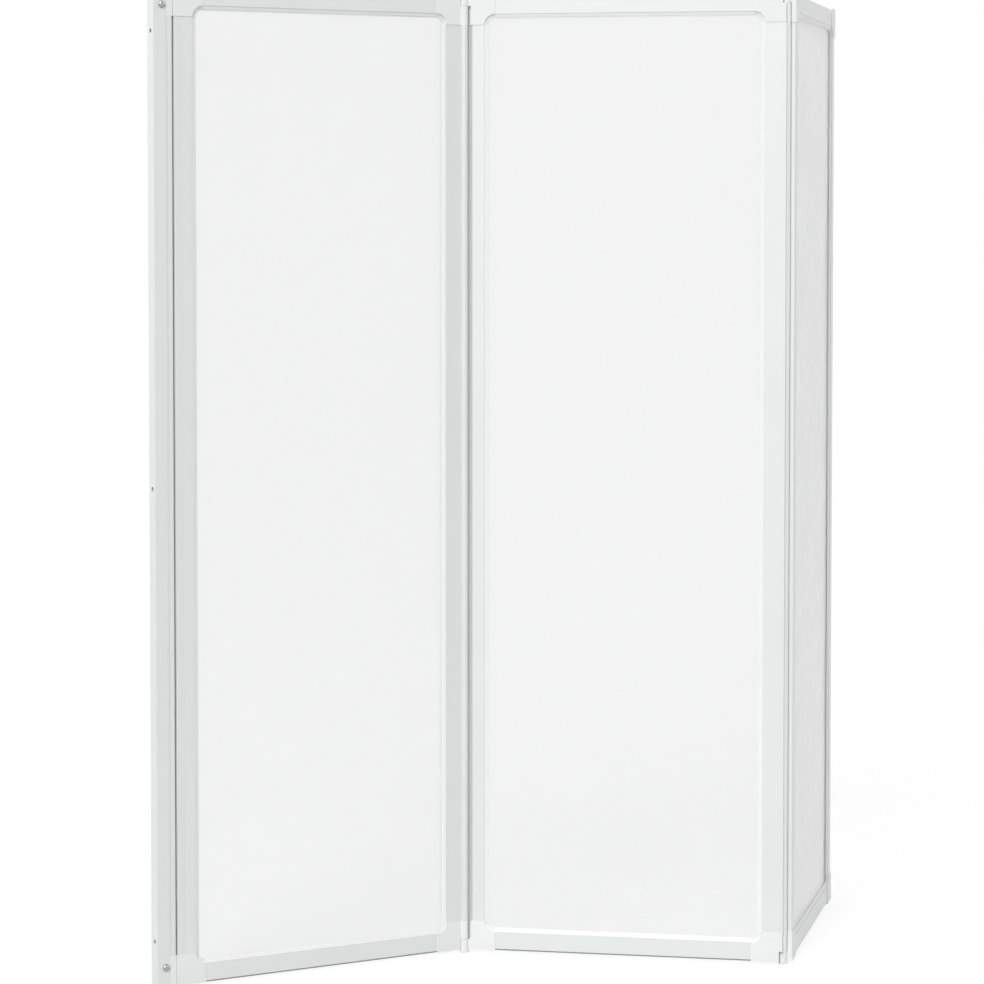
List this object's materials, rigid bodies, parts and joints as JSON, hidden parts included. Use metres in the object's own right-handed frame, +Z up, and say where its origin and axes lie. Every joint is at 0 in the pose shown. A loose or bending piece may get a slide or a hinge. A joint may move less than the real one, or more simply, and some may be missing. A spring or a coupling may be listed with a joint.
{
  "type": "folding bath screen",
  "caption": "Folding bath screen: framed translucent panels hinged in a zigzag on a wall post, with moulded corners, offset hinges and sill seals.",
  "frame": {"origin": "centre of the middle wall screw hole on the wall face of the wall channel, at half the frame height", "axes": "+X out from the wall along the first panel, +Z up, -Y towards the front, the side seen in the picture"},
  "size_m": [1.026, 0.301, 1.2146],
  "materials": {
    "profile": "satin anodised extrusion, pale silver",
    "moulding": "white moulded plastic, soft sheen",
    "sheet": "translucent white synthetic glass with a fine droplet relief",
    "seal": "soft pale grey seal",
    "gasket": "soft pale glazing strip",
    "screw": "polished domed head",
    "pin": "white nylon pin"
  },
  "bodies": {
    "wall_post": {"clamp_screws": "screw", "hinge_post": "profile", "post_block_bottom": "moulding", "post_block_top": "moulding", "post_pins": "pin", "wall_channel": "profile"},
    "panel_1": {"panel_1_bottom_rail": "profile", "panel_1_corner_bottom_left": "moulding", "panel_1_corner_bottom_right": "moulding", "panel_1_corner_top_left": "moulding", "panel_1_corner_top_right": "moulding", "panel_1_glass": "sheet", "panel_1_glazing_gasket": "gasket", "panel_1_hinge_seal": "seal", "panel_1_left_stile": "profile", "panel_1_pins": "pin", "panel_1_right_stile": "profile", "panel_1_sill_seal": "seal", "panel_1_top_rail": "profile"},
    "panel_2": {"panel_2_bottom_rail": "profile", "panel_2_corner_bottom_left": "moulding", "panel_2_corner_bottom_right": "moulding", "panel_2_corner_top_left": "moulding", "panel_2_corner_top_right": "moulding", "panel_2_glass": "sheet", "panel_2_glazing_gasket": "gasket", "panel_2_hinge_seal": "seal", "panel_2_left_stile": "profile", "panel_2_pins": "pin", "panel_2_right_stile": "profile", "panel_2_sill_seal": "seal", "panel_2_top_rail": "profile"},
    "panel_3": {"panel_3_bottom_rail": "profile", "panel_3_corner_bottom_left": "moulding", "panel_3_corner_bottom_right": "moulding", "panel_3_corner_top_left": "moulding", "panel_3_corner_top_right": "moulding", "panel_3_glass": "sheet", "panel_3_glazing_gasket": "gasket", "panel_3_hinge_seal": "seal", "panel_3_left_stile": "profile", "panel_3_right_stile": "profile", "panel_3_sill_seal": "seal", "panel_3_top_rail": "profile"}
  },
  "joints": [
    {"name": "hinge_wall", "type": "hinge", "parent": "wall_post", "child": "panel_1", "pos_m": [0.025, 0.0007, 0], "axis": [0, 0, 1], "range_deg": [0, 90]},
    {"name": "hinge_middle", "type": "hinge", "parent": "panel_1", "child": "panel_2", "pos_m": [0.4305, -0.0107, 0], "axis": [0, 0, -1], "range_deg": [-42.3, 137.7]},
    {"name": "hinge_outer", "type": "hinge", "parent": "panel_2", "child": "panel_3", "pos_m": [0.73809, -0.27518, 0], "axis": [0, 0, 1], "range_deg": [-88.6, 91.4]}
  ]
}
